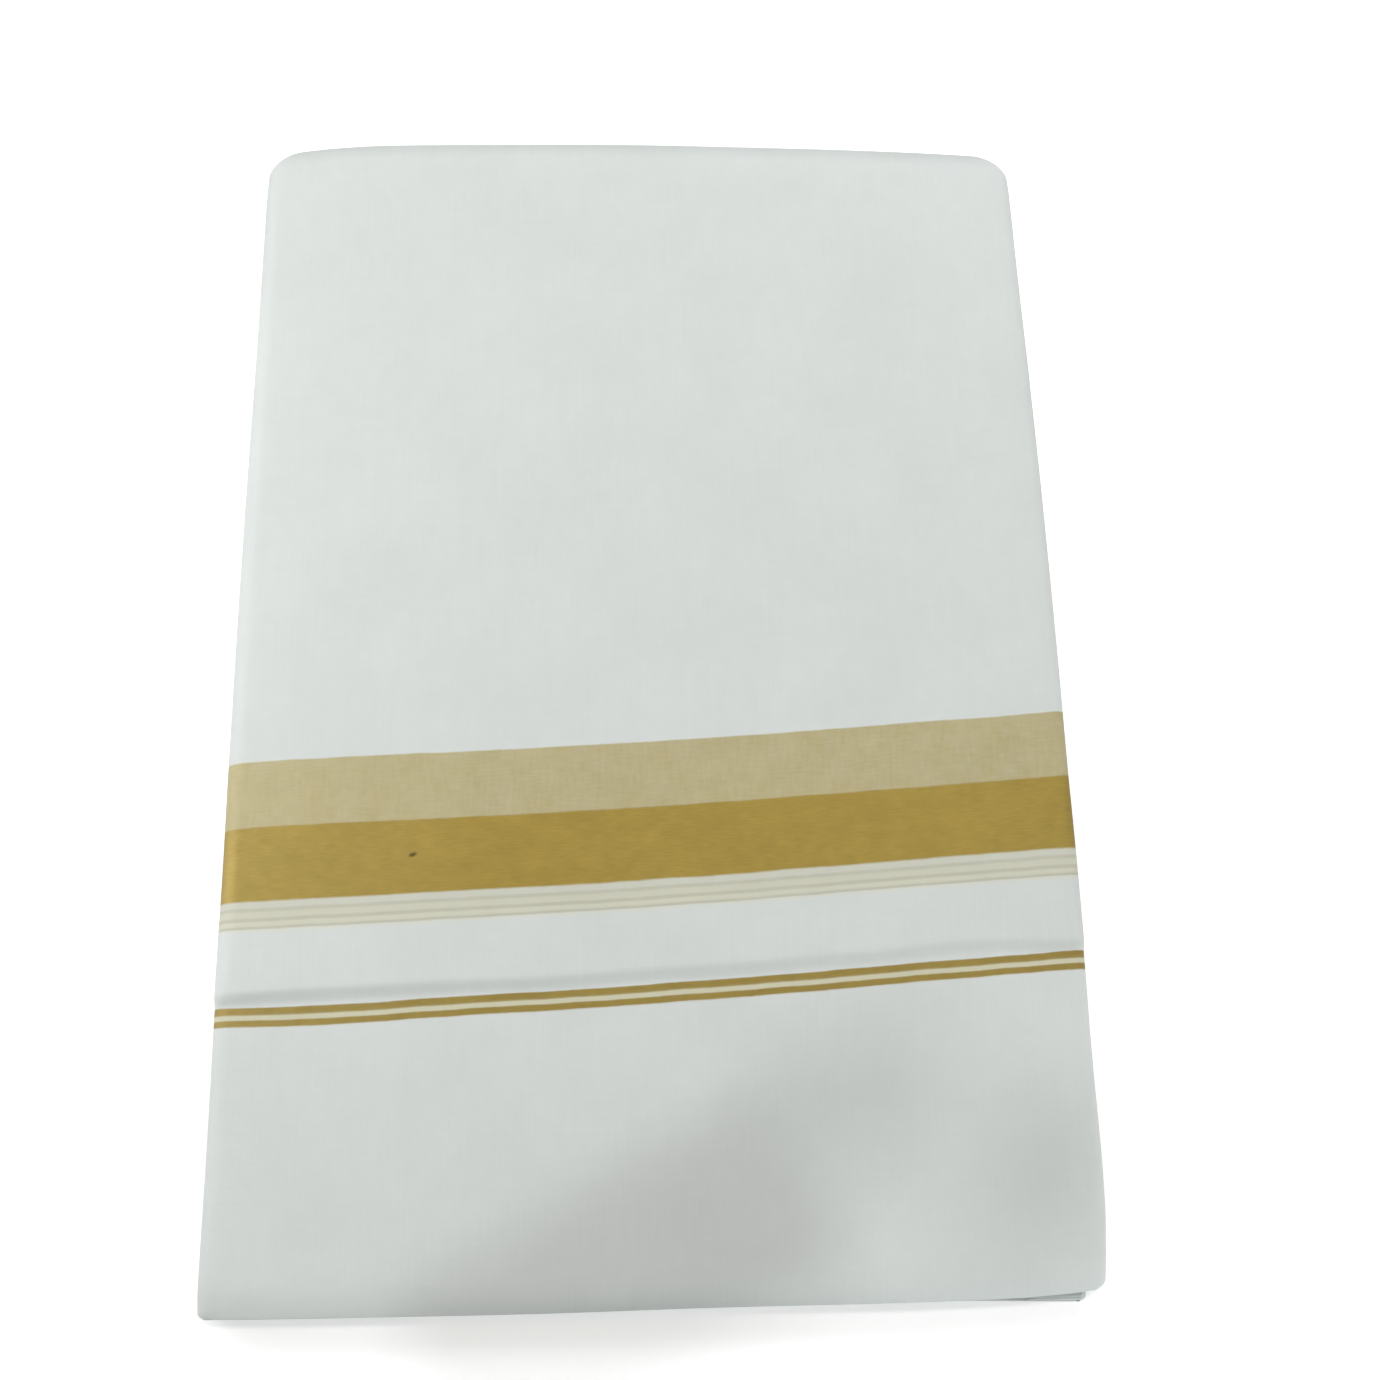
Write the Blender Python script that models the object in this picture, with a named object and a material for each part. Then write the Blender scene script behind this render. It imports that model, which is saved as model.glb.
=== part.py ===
"""A double dhoti folded into a flat packet that lies on one of its faces.

The cloth is one unstitched length of fine cotton. It is folded across its
width into about three and a half thicknesses, which makes one long strip, and
the strip is then halved four times, so sixteen strips lie on each other. The
last halving makes the big round fold on the left. On the right the upper eight
strips turn in one fold, the lowest four in a smaller one, and between them lie
the very first fold and the two loose ends of the cloth.

Lengths are metres. X runs across the packet and Y along it, away from the end
with the woven bands, and Z is height over the surface that the packet rests on.
"""

import math
import random

import bpy

# The cloth, and the strip that it makes once it is folded across its width. A wall is one
# strip, pressed flat, and GAP is what parts two strips that lie on each other.
CUT_LENGTH = 4.00
CUT_WIDTH = 1.29
THICKNESSES = 3.5
HALVINGS = 4
STRIPS = 2**HALVINGS
WALL = 0.0010
GAP = 0.0003

# The packet. The turns at its sides and ends stand out a little past the strips' own sizes.
SIDE_TURNS = 0.0033
END_TURNS = 0.0017
PACK_WIDTH = CUT_LENGTH / STRIPS + SIDE_TURNS
PACK_LENGTH = CUT_WIDTH / THICKNESSES + END_TURNS
PACK_HEIGHT = 0.0140
RIGHT_X = PACK_WIDTH / 2
LEFT_X = -PACK_WIDTH / 2
FAR_Y = PACK_LENGTH / 2
NEAR_Y = -PACK_LENGTH / 2

# Its outline from above: a little narrower at the near end, bowed at the far one.
LEFT_LEAN = 0.0047
LEFT_LEAN_POWER = 1.3
RIGHT_BOW = 0.0021
WIDEST = 0.62
RIGHT_TAPER = 0.0012
TAPER_FROM = 0.94
FAR_PEAK_X = -0.065
FAR_DROP = 0.0072
NEAR_RISE = 0.0006
NEAR_BOW = 0.0006
FAR_CORNER = 0.0090
FAR_CORNER_STEPS = 4
NEAR_CORNER = 0.0035
NEAR_CORNER_STEPS = 2

# The upper eight strips stand back at the near right corner, and the lower ones on the right.
UPPER_SETBACK = 0.0035
SETBACK_POWER = 6
LOWER_RECESS_FAR = 0.0020
LOWER_RECESS_NEAR = 0.0075
RECESS_POWER = 3

# The turns at the sides. SEAM is how far in from the left edge the left fold's own piece ends.
LEFT_TURN = 0.0070
SEAM = 0.0180
HALF_HEIGHT = PACK_HEIGHT / 2
LOWER_TURN = PACK_HEIGHT / 4
TUCK = 0.0030
LOOSE_ENDS_BACK = 0.0012
FIRST_FOLD_BACK = 0.0008
END_ROUND = 0.35 * WALL

# The crease under the bands, where the hidden layers end and the upper face steps down.
CREASE_Y = -0.0953
CREASE_SLOPE = 0.0514
CREASE_WAVER = 0.0007
CREASE_WAVE = 0.145
CREASE_HALF = 0.0016
CREASE_DROP = 0.0013

# How far the upper face falls towards each edge, and over what distance. CROWN is the most
# that the swells raise it.
CROWN = 0.0003
FALLS = {
    "far": (0.0022, 0.0110),
    "near": (0.0016, 0.0090),
    "left": (0.0008, 0.0300),
    "right": (0.0006, 0.0220),
}

# Soft swells of the upper face: centre, half sizes along and across, turn in degrees, height.
SWELLS = (
    {"x": -0.010, "y": -0.152, "along": 0.075, "across": 0.020, "turn": 24, "height": -0.0009},
    {"x": 0.074, "y": -0.128, "along": 0.040, "across": 0.018, "turn": 20, "height": 0.0005},
    {"x": -0.085, "y": -0.135, "along": 0.045, "across": 0.024, "turn": 10, "height": 0.0003},
    {"x": 0.118, "y": -0.172, "along": 0.026, "across": 0.020, "turn": 40, "height": -0.0013},
    {"x": -0.030, "y": 0.060, "along": 0.110, "across": 0.080, "turn": 60, "height": 0.0003},
)

LOOSE_ENDS_HEIGHT = 0.0013

# The strips between the outermost two, from the lowest up: how many in each group, and what
# its right edge does. A slot stands back for an outer strip that is tucked in beside it.
GROUPS = (
    {"strips": 1, "right": "turn", "top": LOWER_TURN - WALL - GAP},
    {"strips": 2, "right": "slot", "top": LOWER_TURN + GAP},
    {"strips": 2, "right": "ends", "top": LOWER_TURN + GAP + LOOSE_ENDS_HEIGHT},
    {"strips": 2, "right": "turn", "top": HALF_HEIGHT - GAP},
    {"strips": 2, "right": "slot", "top": HALF_HEIGHT + WALL + GAP},
    {"strips": 5, "right": "turn", "top": None},
)
FIRST_UPPER_GROUP = 4
SHELF = 0.0001

# The strips' folded ends: how deep the grooves between them are, and how unevenly they lie.
GROOVE = 0.0005
LEAST_BACK = 0.0004
UNEVEN = 0.0007
WANDER = 0.0005
SHORTEST_WAVE = 0.06
LONGEST_WAVE = 0.16
SEED = 11

# How finely the curves are divided.
FIELD_ROWS = 6
NEAR_ROWS = 5
ACROSS = 16
LEFT_CELLS = 12
UPPER_CELLS = 8
LOWER_CELLS = 6
BACK_ACROSS = 6

COTTON = {"colour": (0.78, 0.80, 0.78, 1.0), "roughness": 0.85}
COTTON_EDGES = {"colour": (0.72, 0.74, 0.72, 1.0), "roughness": 0.90}


def mix(a, b, t):
    return a + (b - a) * t


def clamp(t):
    return min(1.0, max(0.0, t))


def smooth(t):
    t = clamp(t)
    return t * t * (3 - 2 * t)


# ---------------------------------------------------------------- the outline


def down_the_packet(y):
    """0 at the far end and 1 at the near one."""
    return clamp((FAR_Y - y) / PACK_LENGTH)


def left_edge(y):
    return LEFT_X + LEFT_LEAN * down_the_packet(y) ** LEFT_LEAN_POWER


def right_edge(y, upper=True):
    t = down_the_packet(y)
    edge = RIGHT_X - RIGHT_BOW * ((t - WIDEST) / WIDEST) ** 2
    edge -= RIGHT_TAPER * smooth((t - TAPER_FROM) / (1 - TAPER_FROM))
    return edge if upper else edge - mix(LOWER_RECESS_FAR, LOWER_RECESS_NEAR, t**RECESS_POWER)


def far_edge(x):
    return FAR_Y - FAR_DROP * ((x - FAR_PEAK_X) / (RIGHT_X - FAR_PEAK_X)) ** 2


def near_edge(x, upper=True):
    t = clamp((x - LEFT_X) / PACK_WIDTH)
    setback = UPPER_SETBACK * t**SETBACK_POWER if upper else 0.0
    return NEAR_Y + NEAR_RISE * t + NEAR_BOW * math.sin(math.pi * t) + setback


def crease(x):
    return CREASE_Y + CREASE_SLOPE * x + CREASE_WAVER * math.sin(2 * math.pi * x / CREASE_WAVE)


def corner(radius, steps):
    """Points of a rounded corner, each as (distance from the end, how far the side is drawn in)."""
    angles = [math.pi / 2 * step / steps for step in range(steps + 1)]
    return [(radius * (1 - math.cos(angle)), radius * (1 - math.sin(angle))) for angle in angles]


def rows():
    """The lines that cross the packet, far to near, each as (s, corner inset): s is 0 on the far
    edge, 1 on the crease and 2 on the near edge."""
    far_span = far_edge(0) - crease(0)
    near_span = crease(0) - near_edge(0)
    lines = [(away / far_span, inset) for away, inset in corner(FAR_CORNER, FAR_CORNER_STEPS)]
    first = FAR_CORNER / far_span
    last = 1 - CREASE_HALF / far_span
    lines += [(mix(first, last, step / FIELD_ROWS), 0.0) for step in range(1, FIELD_ROWS + 1)]
    lines.append((1.0, 0.0))
    first = 1 + CREASE_HALF / near_span
    last = 2 - NEAR_CORNER / near_span
    lines += [(mix(first, last, step / NEAR_ROWS), 0.0) for step in range(NEAR_ROWS)]
    near = corner(NEAR_CORNER, NEAR_CORNER_STEPS)
    lines += [(2 - away / near_span, inset) for away, inset in reversed(near)]
    return lines


ROWS = rows()


def row_y(j, x, upper=True):
    s = ROWS[j][0]
    if s <= 1:
        return mix(far_edge(x), crease(x), s)
    return mix(crease(x), near_edge(x, upper), s - 1)


def row_ends(j, upper=True):
    """X of the left and right ends of a row, drawn in where the corners are round."""
    inset = ROWS[j][1]
    y = row_y(j, 0.0)
    return left_edge(y) + inset, right_edge(y, upper) - inset


def row_seam(j):
    """X in a row of the line where the upper and lower faces pass into the left fold."""
    return left_edge(row_y(j, 0.0)) + SEAM


# ---------------------------------------------------------------- the upper face


def fall(name, distance):
    depth, reach = FALLS[name]
    return depth * (1 - clamp(distance / reach)) ** 2


def swell(s, x, y):
    turn = math.radians(s["turn"])
    dx, dy = x - s["x"], y - s["y"]
    along = (dx * math.cos(turn) + dy * math.sin(turn)) / s["along"]
    across = (dy * math.cos(turn) - dx * math.sin(turn)) / s["across"]
    return s["height"] * math.exp(-(along**2) - across**2)


def top_height(x, y):
    """Z of the upper face's outer side."""
    down = CREASE_DROP * smooth((crease(x) - y + CREASE_HALF) / (2 * CREASE_HALF))
    down += fall("far", far_edge(x) - y)
    down += fall("near", y - near_edge(x))
    down += fall("left", x - left_edge(y))
    down += fall("right", right_edge(y) - x)
    return PACK_HEIGHT - CROWN - down + sum(swell(s, x, y) for s in SWELLS)


# ---------------------------------------------------------------- meshes


def block(name, cells, place, finish):
    """The closed skin of a block of cells. place(i, j, k) gives the point at each corner on it."""
    ni, nj, nk = cells
    number = {}
    points = []
    for i in range(ni + 1):
        for j in range(nj + 1):
            for k in range(nk + 1):
                if i in (0, ni) or j in (0, nj) or k in (0, nk):
                    number[i, j, k] = len(points)
                    points.append(place(i, j, k))
    faces = []

    def side(corner, count_a, count_b, flip):
        for a in range(count_a):
            for b in range(count_b):
                face = [number[corner(a + da, b + db)] for da, db in ((0, 0), (1, 0), (1, 1), (0, 1))]
                faces.append(face[::-1] if flip else face)

    side(lambda a, b: (a, b, 0), ni, nj, False)
    side(lambda a, b: (a, b, nk), ni, nj, True)
    side(lambda a, b: (a, 0, b), ni, nk, True)
    side(lambda a, b: (a, nj, b), ni, nk, False)
    side(lambda a, b: (0, a, b), nj, nk, False)
    side(lambda a, b: (ni, a, b), nj, nk, True)
    mesh = bpy.data.meshes.new(name)
    mesh.from_pydata(points, [], faces)
    mesh.update()
    mesh.materials.append(material(name, finish))
    thing = bpy.data.objects.new(name, mesh)
    bpy.context.scene.collection.objects.link(thing)
    return thing


def material(name, finish):
    surface = bpy.data.materials.new(name)
    surface.use_nodes = True
    shader = surface.node_tree.nodes["Principled BSDF"]
    shader.inputs["Base Color"].default_value = finish["colour"]
    shader.inputs["Roughness"].default_value = finish["roughness"]
    shader.inputs["Metallic"].default_value = 0.0
    return surface


LAST_ROW = len(ROWS) - 1
DEPTHS = (WALL, WALL / 2, 0.0)


def rounded_end(j, k):
    """How far the skins of a wall stand back from its middle at the folded far and near ends."""
    if k == 1:
        return 0.0
    if j == 0:
        return -END_ROUND
    if j == LAST_ROW:
        return END_ROUND
    return 0.0


# ---------------------------------------------------------------- the outer strip


def front_stretch():
    """The upper face, then the turn at its right and the tuck under the upper eight strips."""

    def place(i, j, k):
        depth = DEPTHS[k]
        _, right = row_ends(j)
        start = row_seam(j) + GAP / 2
        turn_x = right - HALF_HEIGHT / 2
        shift = rounded_end(j, k)
        if i <= ACROSS:
            x = mix(start, turn_x, i / ACROSS)
            y = row_y(j, x)
            return x, y + shift, top_height(x, y) - depth
        y = row_y(j, turn_x)
        radius = (top_height(turn_x, y) - HALF_HEIGHT) / 2
        centre_z = HALF_HEIGHT + radius
        steps = i - ACROSS
        if steps <= UPPER_CELLS:
            angle = math.pi * steps / UPPER_CELLS
            out = math.sin(angle)
            x = turn_x + (HALF_HEIGHT / 2 - depth) * out
            return x, row_y(j, x) + shift, centre_z + (radius - depth) * math.cos(angle)
        return turn_x - TUCK, row_y(j, turn_x - TUCK) + shift, HALF_HEIGHT + depth

    cells = (ACROSS + UPPER_CELLS + 1, LAST_ROW, 2)
    return block("front_stretch", cells, place, COTTON)


def left_fold():
    """The outer strip's round turn down the left side, with a little of both faces."""

    def place(i, j, k):
        depth = DEPTHS[k]
        shift = rounded_end(j, k)
        left, _ = row_ends(j)
        seam_x = row_seam(j) - GAP / 2
        if i == 0:
            return seam_x, row_y(j, seam_x, upper=False) + shift, depth
        if i == LEFT_CELLS + 2:
            return seam_x, row_y(j, seam_x) + shift, top_height(seam_x, row_y(j, seam_x)) - depth
        centre_x = left + LEFT_TURN
        half = top_height(centre_x, row_y(j, centre_x)) / 2
        angle = math.pi * (i - 1) / LEFT_CELLS
        x = centre_x - (LEFT_TURN - depth) * math.sin(angle)
        return x, row_y(j, x) + shift, half - (half - depth) * math.cos(angle)

    return block("left_fold", (LEFT_CELLS + 2, LAST_ROW, 2), place, COTTON)


def back_stretch():
    """The face that the packet lies on, then its turn up at the right and its tuck."""

    def place(i, j, k):
        depth = DEPTHS[k]
        _, right = row_ends(j, upper=False)
        start = row_seam(j) + GAP / 2
        radius = LOWER_TURN / 2
        turn_x = right - radius
        shift = rounded_end(j, k)
        if i <= BACK_ACROSS:
            x = mix(start, turn_x, i / BACK_ACROSS)
            return x, row_y(j, x, upper=False) + shift, depth
        steps = i - BACK_ACROSS
        if steps <= LOWER_CELLS:
            angle = math.pi * steps / LOWER_CELLS
            x = turn_x + (radius - depth) * math.sin(angle)
            z = radius - (radius - depth) * math.cos(angle)
            return x, row_y(j, x, upper=False) + shift, z
        x = turn_x - TUCK
        return x, row_y(j, x, upper=False) + shift, LOWER_TURN - depth

    def outward(i, j, k):
        return place(i, j, 2 - k)

    cells = (BACK_ACROSS + LOWER_CELLS + 1, LAST_ROW, 2)
    return block("back_stretch", cells, outward, COTTON)


# ---------------------------------------------------------------- the hidden strips


def levels():
    """The heights at which the hidden strips' edges are cut, from the lowest up."""
    chance = random.Random(SEED)
    found = []
    floor = WALL + GAP
    strip = 0
    for number, group in enumerate(GROUPS):
        for step in range(2 * group["strips"] + 1):
            found.append(
                {
                    "group": number,
                    "share": step / (2 * group["strips"]),
                    "groove": step % 2 == 0,
                    "strip": strip + min(step // 2, group["strips"] - 1),
                    "floor": floor,
                }
            )
        strip += group["strips"]
        floor = group["top"]
    edges = [
        {
            "back": chance.uniform(LEAST_BACK, LEAST_BACK + UNEVEN),
            "wave": chance.uniform(SHORTEST_WAVE, LONGEST_WAVE),
            "start": chance.uniform(0, 2 * math.pi),
        }
        for _ in range(strip)
    ]
    return found, edges


LEVELS, EDGES = levels()


def inner_top(x, y):
    return top_height(x, y) - WALL - GAP


def level_height(level, x, y):
    group = GROUPS[level["group"]]
    low = level["floor"] + SHELF / 2
    high = inner_top(x, y) if group["top"] is None else group["top"] - SHELF / 2
    if level["group"] == 0:
        low = level["floor"]
    return mix(low, high, level["share"])


def turned_in(share, radius):
    """How far a round edge stands back at a share of its height."""
    return radius * (1 - math.sqrt(max(0.0, 1 - (2 * share - 1) ** 2)))


def level_right(level, j):
    """X of the right end of one level in one row."""
    number = level["group"]
    form = GROUPS[number]["right"]
    upper = number >= FIRST_UPPER_GROUP
    _, right = row_ends(j, upper)
    if form == "slot":
        turn = HALF_HEIGHT / 2 if upper else LOWER_TURN / 2
        return right - turn - TUCK - GAP
    if form == "ends":
        ragged = 2 * EDGES[level["strip"]]["back"] + (GROOVE if level["groove"] else 0.0)
        return right - LOOSE_ENDS_BACK - ragged
    if upper:
        radius = HALF_HEIGHT / 2 - WALL - GAP
        return right - WALL - GAP - turned_in(level["share"], radius)
    if number == 0:
        return right - WALL - GAP - turned_in(level["share"], LOWER_TURN / 2 - WALL - GAP)
    height = GROUPS[number]["top"] - level["floor"]
    return right - FIRST_FOLD_BACK - turned_in(level["share"], height / 2)


def level_left(level, j):
    left, _ = row_ends(j)
    centre_x = left + LEFT_TURN
    y = row_y(j, centre_x)
    half = top_height(centre_x, y) / 2
    z = level_height(level, centre_x, y)
    from_middle = (z - half) / (half - WALL - GAP)
    reach = LEFT_TURN - WALL - GAP
    return centre_x - reach * math.sqrt(max(0.0, 1 - from_middle**2))


def stand_back(level, x):
    """How far one strip's folded end stands back from the outermost one."""
    edge = EDGES[level["strip"]]
    wander = WANDER * (1 + math.sin(2 * math.pi * x / edge["wave"] + edge["start"])) / 2
    return edge["back"] + wander + (GROOVE if level["groove"] else 0.0)


def inner_folds():
    """The fourteen strips between the outer ones, as one solid with a layered edge all round."""

    def place(i, j, k):
        level = LEVELS[k]
        upper = level["group"] >= FIRST_UPPER_GROUP
        x = mix(level_left(level, j), level_right(level, j), i / ACROSS)
        y = row_y(j, x, upper)
        z = level_height(level, x, y)
        from_far = clamp((far_edge(x) - y) / FAR_CORNER)
        from_near = clamp((y - near_edge(x, upper)) / FAR_CORNER)
        return x, y + stand_back(level, x) * (from_far - from_near), z

    return block("inner_folds", (ACROSS, LAST_ROW, len(LEVELS) - 1), place, COTTON_EDGES)


def main():
    for thing in list(bpy.data.objects):
        bpy.data.objects.remove(thing, do_unlink=True)
    packet = bpy.data.objects.new("dhoti_packet", None)
    bpy.context.scene.collection.objects.link(packet)
    for piece in (front_stretch(), left_fold(), back_stretch(), inner_folds()):
        piece.parent = packet


main()
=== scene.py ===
# %% [markdown]
# # A dhoti folded into a flat packet
#
# A dhoti is one unstitched length of fine cotton with a gold border woven along its edge. For the
# shelf it is folded across its width into a long strip, and the strip is halved four times, so
# sixteen strips lie on each other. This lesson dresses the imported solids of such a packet: first
# the sizes and the camera, then the outer cloth, the folds between, the weave, and the light.

import math
import random

import bpy
from mathutils import Matrix, Vector


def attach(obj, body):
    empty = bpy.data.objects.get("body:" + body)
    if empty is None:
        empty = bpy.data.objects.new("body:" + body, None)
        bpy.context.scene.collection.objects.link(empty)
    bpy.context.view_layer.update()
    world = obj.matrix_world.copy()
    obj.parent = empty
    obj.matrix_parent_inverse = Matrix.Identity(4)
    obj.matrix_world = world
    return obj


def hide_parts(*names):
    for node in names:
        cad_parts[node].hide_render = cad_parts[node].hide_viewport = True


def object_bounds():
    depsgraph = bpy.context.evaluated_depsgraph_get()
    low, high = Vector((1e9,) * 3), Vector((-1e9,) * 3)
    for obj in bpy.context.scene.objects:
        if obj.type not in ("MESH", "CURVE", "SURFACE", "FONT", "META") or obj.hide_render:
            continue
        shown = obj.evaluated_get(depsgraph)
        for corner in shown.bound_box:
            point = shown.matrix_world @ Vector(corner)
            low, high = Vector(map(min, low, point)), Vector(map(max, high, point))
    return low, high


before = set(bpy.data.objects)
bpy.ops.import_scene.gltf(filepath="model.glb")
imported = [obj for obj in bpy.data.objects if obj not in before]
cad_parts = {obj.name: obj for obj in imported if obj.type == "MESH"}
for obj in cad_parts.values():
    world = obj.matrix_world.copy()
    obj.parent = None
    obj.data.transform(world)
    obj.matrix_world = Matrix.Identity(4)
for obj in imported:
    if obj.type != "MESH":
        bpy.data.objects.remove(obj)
cad_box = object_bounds()
print("nodes:", ", ".join(sorted(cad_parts)))
print("box in mm:", [[round(1000 * n, 1) for n in corner] for corner in cad_box])

# %% [markdown]
# ## Sizes
#
# Everything is in metres, with X across the packet, Y along it away from the end with the border,
# and Z upwards. The overall size is read from the solids, so the cloth cannot drift away from
# them. The rest are a maker's measures.

# %% Overall size, strips and cloth
LEFT_X, NEAR_Y, _ = cad_box[0]
RIGHT_X, FAR_Y, PACK_HEIGHT = cad_box[1]
PACK_WIDTH = RIGHT_X - LEFT_X
PACK_LENGTH = FAR_Y - NEAR_Y
STRIPS = 16
CLOTH = 0.00025
HAIRLINE = 0.00004

# %% The outline seen from above
LEFT_LEAN = 0.0047
LEFT_LEAN_POWER = 1.3
RIGHT_BOW = 0.0021
WIDEST = 0.62
RIGHT_TAPER = 0.0012
TAPER_FROM = 0.94
FAR_PEAK_X = -0.072
FAR_DROP = 0.0077
FAR_LEFT_X = -0.085
FAR_LEFT_DROP = 0.0025
FAR_LEFT_POWER = 1.6
NEAR_RISE = 0.0006
NEAR_BOW = 0.0002
NEAR_WAVE = 0.0005
FAR_CORNER = 0.0090
CORNERS = {
    "far left": 0.0070,
    "far right": FAR_CORNER,
    "near left": 0.0015,
    "near right": 0.0020,
    "near right, lower": 0.0016,
}
UPPER_SETBACK = 0.0037
SETBACK_POWER = 12
LOWER_STANDS_OUT = 0.0006
LOWER_RECESS_FAR = 0.0020
LOWER_RECESS_NEAR = 0.0044
RECESS_POWER = 3


def mix(a, b, t):
    return a + (b - a) * t


def clamp(t):
    return min(1.0, max(0.0, t))


def smooth(t):
    t = clamp(t)
    return t * t * (3 - 2 * t)


def down_the_packet(y):
    """0 at the far end and 1 at the near one."""
    return clamp((FAR_Y - y) / PACK_LENGTH)


def left_edge(y):
    return LEFT_X + LEFT_LEAN * down_the_packet(y) ** LEFT_LEAN_POWER


def right_edge(y, upper=True):
    t = down_the_packet(y)
    edge = RIGHT_X - RIGHT_BOW * ((t - WIDEST) / WIDEST) ** 2
    edge -= RIGHT_TAPER * smooth((t - TAPER_FROM) / (1 - TAPER_FROM))
    return edge if upper else edge - mix(LOWER_RECESS_FAR, LOWER_RECESS_NEAR, t**RECESS_POWER)


def far_edge(x):
    drop = FAR_DROP * ((x - FAR_PEAK_X) / (RIGHT_X - FAR_PEAK_X)) ** 2
    drop += FAR_LEFT_DROP * clamp((x - FAR_LEFT_X) / (LEFT_X - FAR_LEFT_X)) ** FAR_LEFT_POWER
    return FAR_Y - drop


def near_edge(x, upper=True):
    t = clamp((x - LEFT_X) / PACK_WIDTH)
    setback = UPPER_SETBACK * t**SETBACK_POWER if upper else -LOWER_STANDS_OUT * t**RECESS_POWER
    waver = NEAR_BOW * math.sin(math.pi * t) - NEAR_WAVE * math.sin(2 * math.pi * t)
    return NEAR_Y + NEAR_RISE * t + waver + setback


print(f"left side leans {1000 * LEFT_LEAN:.1f} mm, right side bows {1000 * RIGHT_BOW:.1f} mm")

# %% [markdown]
# The hidden layers end a little above the pair of gold lines, and there the upper face steps down
# by two millimetres. That step is a crease, so it gets a line of its own. The lines across the
# packet are then counted by one number: 0 on the far edge, 1 on the crease and 2 on the near edge.
# Lines that follow the edges and the crease keep the folds clean.

# %% The crease
CREASE_Y = -0.0956
CREASE_SLOPE = 0.0514
CREASE_WAVER = 0.0007
CREASE_WAVE = 0.145
CREASE_HALF = 0.0021
CREASE_DROP = 0.0019
# Each nudge: x, reach, shift.
CREASE_NUDGES = ((-0.054, 0.024, 0.0006), (0.027, 0.019, -0.0008), (0.096, 0.024, 0.0024))


def wave(x, length, start=0.0):
    return math.sin(2 * math.pi * x / length + start)


def bell(x, place, reach):
    """1 at a place, and softly down to 0 beyond its reach on both sides."""
    return math.exp(-(((x - place) / reach) ** 2))


def crease(x):
    """Y of the crease: a sloping line with a slow waver, nudged in three places."""
    nudges = sum(shift * bell(x, place, reach) for place, reach, shift in CREASE_NUDGES)
    return CREASE_Y + CREASE_SLOPE * x + CREASE_WAVER * wave(x, CREASE_WAVE) + nudges


print(f"the crease climbs {1000 * (crease(RIGHT_X) - crease(LEFT_X)):.1f} mm across the packet")

# %% Lines across the packet
FAR_SPAN = far_edge(0) - crease(0)
NEAR_SPAN = crease(0) - near_edge(0)


def from_far(away):
    """The line that lies that far from the far edge."""
    return away / FAR_SPAN


def from_near(away):
    return 2 - away / NEAR_SPAN


def line_y(s, x, upper=True):
    if s <= 1:
        return mix(far_edge(x), crease(x), s)
    return mix(crease(x), near_edge(x, upper), s - 1)


def corner_inset(s, radius):
    """How far a side of the packet is drawn in on one line, where its corner is round."""
    away = s * FAR_SPAN if s <= 1 else (2 - s) * NEAR_SPAN
    if away >= radius:
        return 0.0
    return radius - math.sqrt(radius**2 - (radius - away) ** 2)


def line_ends(s, upper=True):
    y = line_y(s, 0.0)
    end = "far" if s <= 1 else "near"
    right_corner = CORNERS["near right, lower"] if s > 1 and not upper else CORNERS[end + " right"]
    left = left_edge(y) + corner_inset(s, CORNERS[end + " left"])
    return left, right_edge(y, upper) - corner_inset(s, right_corner)


print(f"from the crease: {1000 * FAR_SPAN:.0f} mm to the far edge, {1000 * NEAR_SPAN:.0f} mm to the near one")

# %% [markdown]
# ## The camera
#
# It comes before any cloth, because it says what is seen. It stands over the near half of the
# packet and looks down steeply, as somebody does who bends over a shop counter, so the near end
# looks wider than the far one. The lens is given in pixels of a square picture.

# %% Set up the camera
PICTURE = 1380
LENS_PIXELS = 1500.0
SENSOR = 36.0
CAMERA_PLACE = Vector((0.01089, -0.14628, 0.44347))
CAMERA_AZIMUTH = math.radians(1.4147)
CAMERA_DOWN = math.radians(72.5767)
CAMERA_ROLL = math.radians(0.5464)
CLIP_START = 0.01
CLIP_END = 50.0


def add_thing(name, data):
    thing = bpy.data.objects.new(name, data)
    bpy.context.scene.collection.objects.link(thing)
    return thing


def set_camera():
    data = bpy.data.cameras.new("counter_camera")
    data.sensor_width = SENSOR
    data.lens = LENS_PIXELS / PICTURE * SENSOR
    data.clip_start = CLIP_START
    data.clip_end = CLIP_END
    camera = add_thing("counter_camera", data)
    flat = math.cos(CAMERA_DOWN)
    sine, cosine = math.sin(CAMERA_AZIMUTH), math.cos(CAMERA_AZIMUTH)
    forward = Vector((sine * flat, cosine * flat, -math.sin(CAMERA_DOWN)))
    right = Vector((cosine, -sine, 0.0))
    up = right.cross(forward)
    rolled_right = math.cos(CAMERA_ROLL) * right + math.sin(CAMERA_ROLL) * up
    rolled_up = -math.sin(CAMERA_ROLL) * right + math.cos(CAMERA_ROLL) * up
    axes = Matrix((rolled_right, rolled_up, -forward)).transposed()
    camera.matrix_world = Matrix.Translation(CAMERA_PLACE) @ axes.to_4x4()
    bpy.context.scene.camera = camera
    return camera


camera = set_camera()
print(f"lens {camera.data.lens:.1f} mm at {camera.location.z:.2f} m above the table")

# %% [markdown]
# ## The upper face
#
# Pressed cotton looks flat, but it never is. The upper face falls away softly at each edge, steps
# down at the crease, and swells and sinks by tenths of a millimetre over the layers below it. Each
# swell and each small pull by the sides is given one by one, with its own size and turn.

# %% The height of the upper face
CROWN = 0.0003
# Each edge: how deep the face falls there, and over what way.
FALLS = {
    "far": (0.0022, 0.0200),
    "near": (0.0025, 0.0100),
    "left": (0.0014, 0.0270),
    "right": (0.0006, 0.0220),
}
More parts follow.
